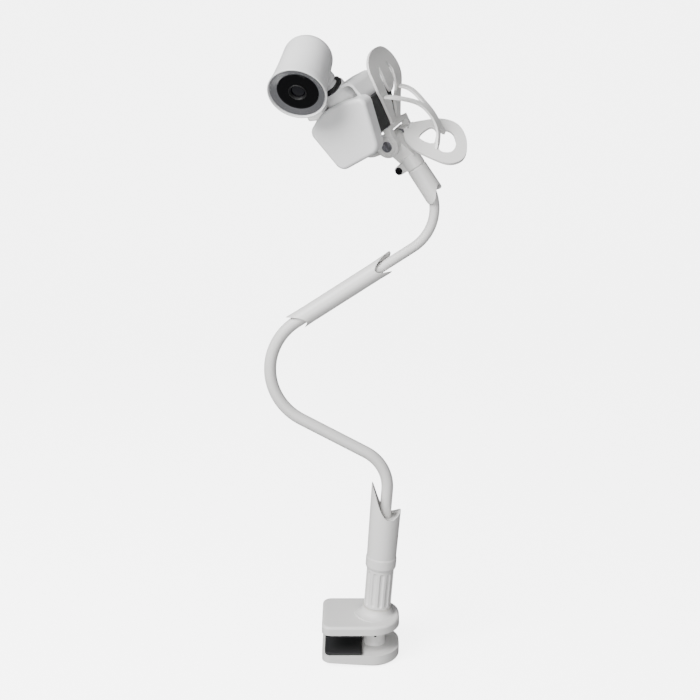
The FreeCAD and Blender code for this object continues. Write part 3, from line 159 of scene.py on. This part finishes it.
def rounded(points, steps=5):
    """Smooth the corners of a line of (x, y) or (x, y, radius) points; the ends stay."""
    line = [Vector(points[0][:2])]
    for before, corner, after in zip(points, points[1:], points[2:]):
        here = Vector(corner[:2])
        if len(corner) < 3:
            line.append(here)
            continue
        back = (Vector(before[:2]) - here).normalized()
        on = (Vector(after[:2]) - here).normalized()
        half = math.acos(max(-1.0, min(1.0, back.dot(on)))) / 2
        reach = corner[2] / math.tan(half)
        centre = here + (back + on).normalized() * (corner[2] / math.sin(half))
        first, last = here + back * reach - centre, here + on * reach - centre
        for step in range(steps + 1):
            share = step / steps
            line.append(centre + first.slerp(last, share).normalized() * corner[2])
    line.append(Vector(points[-1][:2]))
    return line


CREASE = math.radians(40.0)


def new_piece(name, verts, faces, material):
    """A mesh at the origin of the shared frame, with smooth faces and crisp edges."""
    mesh = bpy.data.meshes.new(name)
    mesh.from_pydata(verts, [], faces)
    mesh.materials.append(material)
    tidy = bmesh.new()
    tidy.from_mesh(mesh)
    bmesh.ops.remove_doubles(tidy, verts=tidy.verts, dist=1e-7)
    bmesh.ops.recalc_face_normals(tidy, faces=tidy.faces)
    tidy.to_mesh(mesh)
    tidy.free()
    for polygon in mesh.polygons:
        polygon.use_smooth = True
    mesh.set_sharp_from_angle(angle=CREASE)
    piece = bpy.data.objects.new(name, mesh)
    bpy.context.scene.collection.objects.link(piece)
    return piece


def lathed(name, profile, place, material, steps=128, closed=False):
    """Solid turned about its own Z from (radius, z) points in mm."""
    verts = []
    for radius, height in profile:
        for step in range(steps):
            angle = 2 * math.pi * step / steps
            verts.append(place @ Vector((radius * math.cos(angle), radius * math.sin(angle), height)))
    faces = []
    rows = len(profile) if closed else len(profile) - 1
    for row in range(rows):
        low, high = row * steps, (row + 1) % len(profile) * steps
        for step in range(steps):
            following = (step + 1) % steps
            faces.append((low + step, low + following, high + following, high + step))
    return new_piece(name, verts, faces, material)


def path_through(corners, spacing=1.5):
    """Evenly spaced points in the X-Z plane through (x, z) or (x, z, bend radius) corners."""
    line = rounded(corners, 40)
    even = []
    for start, end in zip(line, line[1:]):
        count = max(1, round((end - start).length / spacing))
        even += [start.lerp(end, step / count) for step in range(count)]
    return even + [line[-1]]


def tube_along(name, line, radius, material, steps=32, relief=0.0, pitch=6):
    """Round tube with closed ends along a line in the X-Z plane; relief swells every pitch-th ring."""
    verts = []
    for index, point in enumerate(line):
        onward = (line[min(index + 1, len(line) - 1)] - line[max(index - 1, 0)]).normalized()
        side = Vector((-onward.y, onward.x))
        wide = radius + relief * math.cos(2 * math.pi * index / pitch)
        for step in range(steps):
            angle = 2 * math.pi * step / steps
            flat = point + side * (wide * math.cos(angle))
            verts.append(Vector((flat.x, wide * math.sin(angle), flat.y)) * MM)
    faces = []
    for row in range(len(line) - 1):
        for step in range(steps):
            following = (step + 1) % steps
            faces.append((row * steps + step, row * steps + following,
                          (row + 1) * steps + following, (row + 1) * steps + step))
    faces.append(tuple(range(steps)))
    faces.append(tuple(range(len(verts) - steps, len(verts))))
    return new_piece(name, verts, faces, material)


def stands_for(piece, slot, *nodes):
    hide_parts(*nodes)
    return piece


BALL_AT = (-8.1437, -23.5768, 469.5805)
TILT_AXIS = (0.7773169, -0.4946905, 0.388664)
PAN_AXIS = (-0.6049907, -0.4183755, 0.6774571)
LENS_AXIS = (-0.1725, -0.7617, -0.6245)


# ---------------------------------------------------------------- necks, sheath and core along bent lines

NECKS = (
    # name, radius over the sheath, (x, z, bend radius) corners, bodies, blend start and end (x, z)
    ("lower", 5.2, ((35.811, 92.75), (40.102, 151.184, 36.0), (-110.13, 232.275, 50.0), (-6.778, 299.085)),
     ("arm_lower", "arm_middle"), (2.5, 171.5), (-18.7, 182.9)),
    ("upper", 4.2, ((-3.418, 301.257), (90.409, 361.91, 38.0), (61.248, 404.949)),
     ("arm_middle", "arm_upper"), (70.1, 353.9), (74.4, 377.4)),
)
SHEATH_WALL = 1.45      # sheath and the gap to the core inside it
WINDING = 0.12          # relief of the wound core
for name, radius, corners, bodies, start, end in NECKS:
    line = path_through(corners)
    for layer, wide, finish, slot, relief in (("sheath", radius, SHEATH, "neck_sheath", 0.0),
                                              ("core", radius - SHEATH_WALL, STEEL, "core_steel", WINDING)):
        skin = tube_along(name + "_" + layer, line, wide, finish, relief=relief)
        stands_for(skin, slot, "%s_%s_root" % (name, layer), "%s_%s_far" % (name, layer))
        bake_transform(skin)


# ---------------------------------------------------------------- camera head

HEAD_SIDE = -3.0        # head's axis from the ball, along the tilt axis
HEAD_REACH = 28.3       # head's axis from the ball, along the pan axis
HEAD_AT = Vector(BALL_AT) + Vector(TILT_AXIS) * HEAD_SIDE + Vector(PAN_AXIS) * HEAD_REACH
HEAD = frame_at(HEAD_AT, TILT_AXIS, LENS_AXIS)
LIP = 36.0              # front of the lip, from the head's axis frame
SEAT = LIP - 1.6        # front of the bezel
DEEP = SEAT - 2.4       # window
BEZEL_IN = 15.7
BARREL_OUT = 6.95
LENS_RAD = 5.55
LENS_EDGE = DEEP - 0.5
LENS_RISE = 1.3

shell_line = rounded([
    (0.01, -19.25), (7.0, -19.2), (13.6, -17.6, 12.0), (19.2, -10.2, 10.0), (20.4, 14.0, 60.0),
    (21.6, 27.0, 30.0), (23.1, LIP, 0.6), (21.9, LIP, 0.6), (21.5, SEAT, 0.2),
    (20.8, DEEP - 1.5), (20.8, DEEP - 3), (17.5, DEEP - 3),
    (17.0, -8.0, 6.0), (9.0, -16.0, 6.0), (0.01, -16.5)], 8)
shell = lathed("head_shell_skin", shell_line, HEAD, CAMERA, 160)
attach(stands_for(shell, "camera_plastic", "head_shell"), "head")

bezel_line = rounded([(BEZEL_IN, DEEP), (20.4, DEEP), (21.35, SEAT, 0.1), (20.9, SEAT + 0.2, 0.2),
                      (16.1, DEEP + 0.9, 0.3), (BEZEL_IN, DEEP + 0.7, 0.2), (BEZEL_IN, DEEP)], 4)
bezel = lathed("bezel_ring", bezel_line[:-1], HEAD, ALUMINIUM, 160, closed=True)
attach(stands_for(bezel, "bezel_aluminium", "lens_bezel"), "head")

barrel_line = rounded([(0.01, DEEP - 12.0), (BARREL_OUT, DEEP - 12.0), (BARREL_OUT, DEEP + 1.9, 0.3),
                       (6.3, DEEP + 2.1, 0.2), (6.0, DEEP + 1.6), (5.9, DEEP + 0.9),
                       (5.62, DEEP + 0.9), (5.62, DEEP - 3.9),
                       (0.01, DEEP - 3.9)], 3)
barrel = lathed("lens_barrel_rings", barrel_line, HEAD, BLACK, 96)
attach(stands_for(barrel, "black_plastic", "lens_barrel"), "head")

dome_angles = [math.radians(10 * step) for step in range(1, 9)]
lens_line = [(0.01, DEEP - 2.5), (5.5, DEEP - 2.5), (LENS_RAD, LENS_EDGE)]
lens_line += [(LENS_RAD * math.cos(angle), LENS_EDGE + LENS_RISE * math.sin(angle))
              for angle in dome_angles]
lens_line += [(0.01, DEEP + 0.8)]
lens = lathed("lens_dome", lens_line, HEAD, LENS, 96)
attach(stands_for(lens, "lens_glass", "front_lens"), "head")


# ---------------------------------------------------------------- stage

def stage_light(name, place, target, size, power):
    data = bpy.data.lights.new(name, "AREA")
    data.size = size
    data.energy = power
    light = bpy.data.objects.new(name, data)
    light.location = place
    light.rotation_euler = (Vector(target) - Vector(place)).to_track_quat("-Z", "Y").to_euler()
    bpy.context.scene.collection.objects.link(light)


MIDDLE_OF_ALL = (0.03, 0.0, 0.25)
stage_light("key", (-0.75, -0.75, 1.15), MIDDLE_OF_ALL, 0.8, 44)
stage_light("front", (-0.1, -1.5, 0.3), MIDDLE_OF_ALL, 0.6, 16)

FLOOR = -0.0285         # just under the lower jaw
sweep = [(-0.9, FLOOR), (1.2, FLOOR), (1.6, FLOOR + 0.06), (1.85, FLOOR + 0.3), (1.95, FLOOR + 0.8),
         (2.0, 1.6)]
backdrop = bpy.data.meshes.new("backdrop")
points = [(x, y, z) for y, z in sweep for x in (-1.0, 1.0)]
backdrop.from_pydata(points, [], [(2 * k, 2 * k + 1, 2 * k + 3, 2 * k + 2) for k in range(len(sweep) - 1)])
for polygon in backdrop.polygons:
    polygon.use_smooth = True
GLOW = {"Emission Color": linear("#FFFFFF"), "Emission Strength": 5.0}
backdrop.materials.append(finish_of("paper, matt white", "#F2F2F2", 0.8, 2.0, 0.01, shade=0.99, **GLOW))
paper = bpy.data.objects.new("paper", backdrop)
bpy.context.scene.collection.objects.link(paper)
# The paper is bright to the camera only, so the object keeps its darker edges.
paper.visible_diffuse = False
paper.visible_glossy = False

world = bpy.data.worlds.new("soft light")
world.use_nodes = True
world.node_tree.nodes["Background"].inputs["Color"].default_value = linear("#F4F5F7")
world.node_tree.nodes["Background"].inputs["Strength"].default_value = 0.30
bpy.context.scene.world = world

camera_data = bpy.data.cameras.new("camera")
camera_data.sensor_width = 36.0
camera_data.lens = 56.57
camera = bpy.data.objects.new("camera", camera_data)
camera.location = (0.00585, -0.9035, 0.4788)
camera.rotation_euler = (math.radians(76), 0, 0)
bpy.context.scene.collection.objects.link(camera)
bpy.context.scene.camera = camera
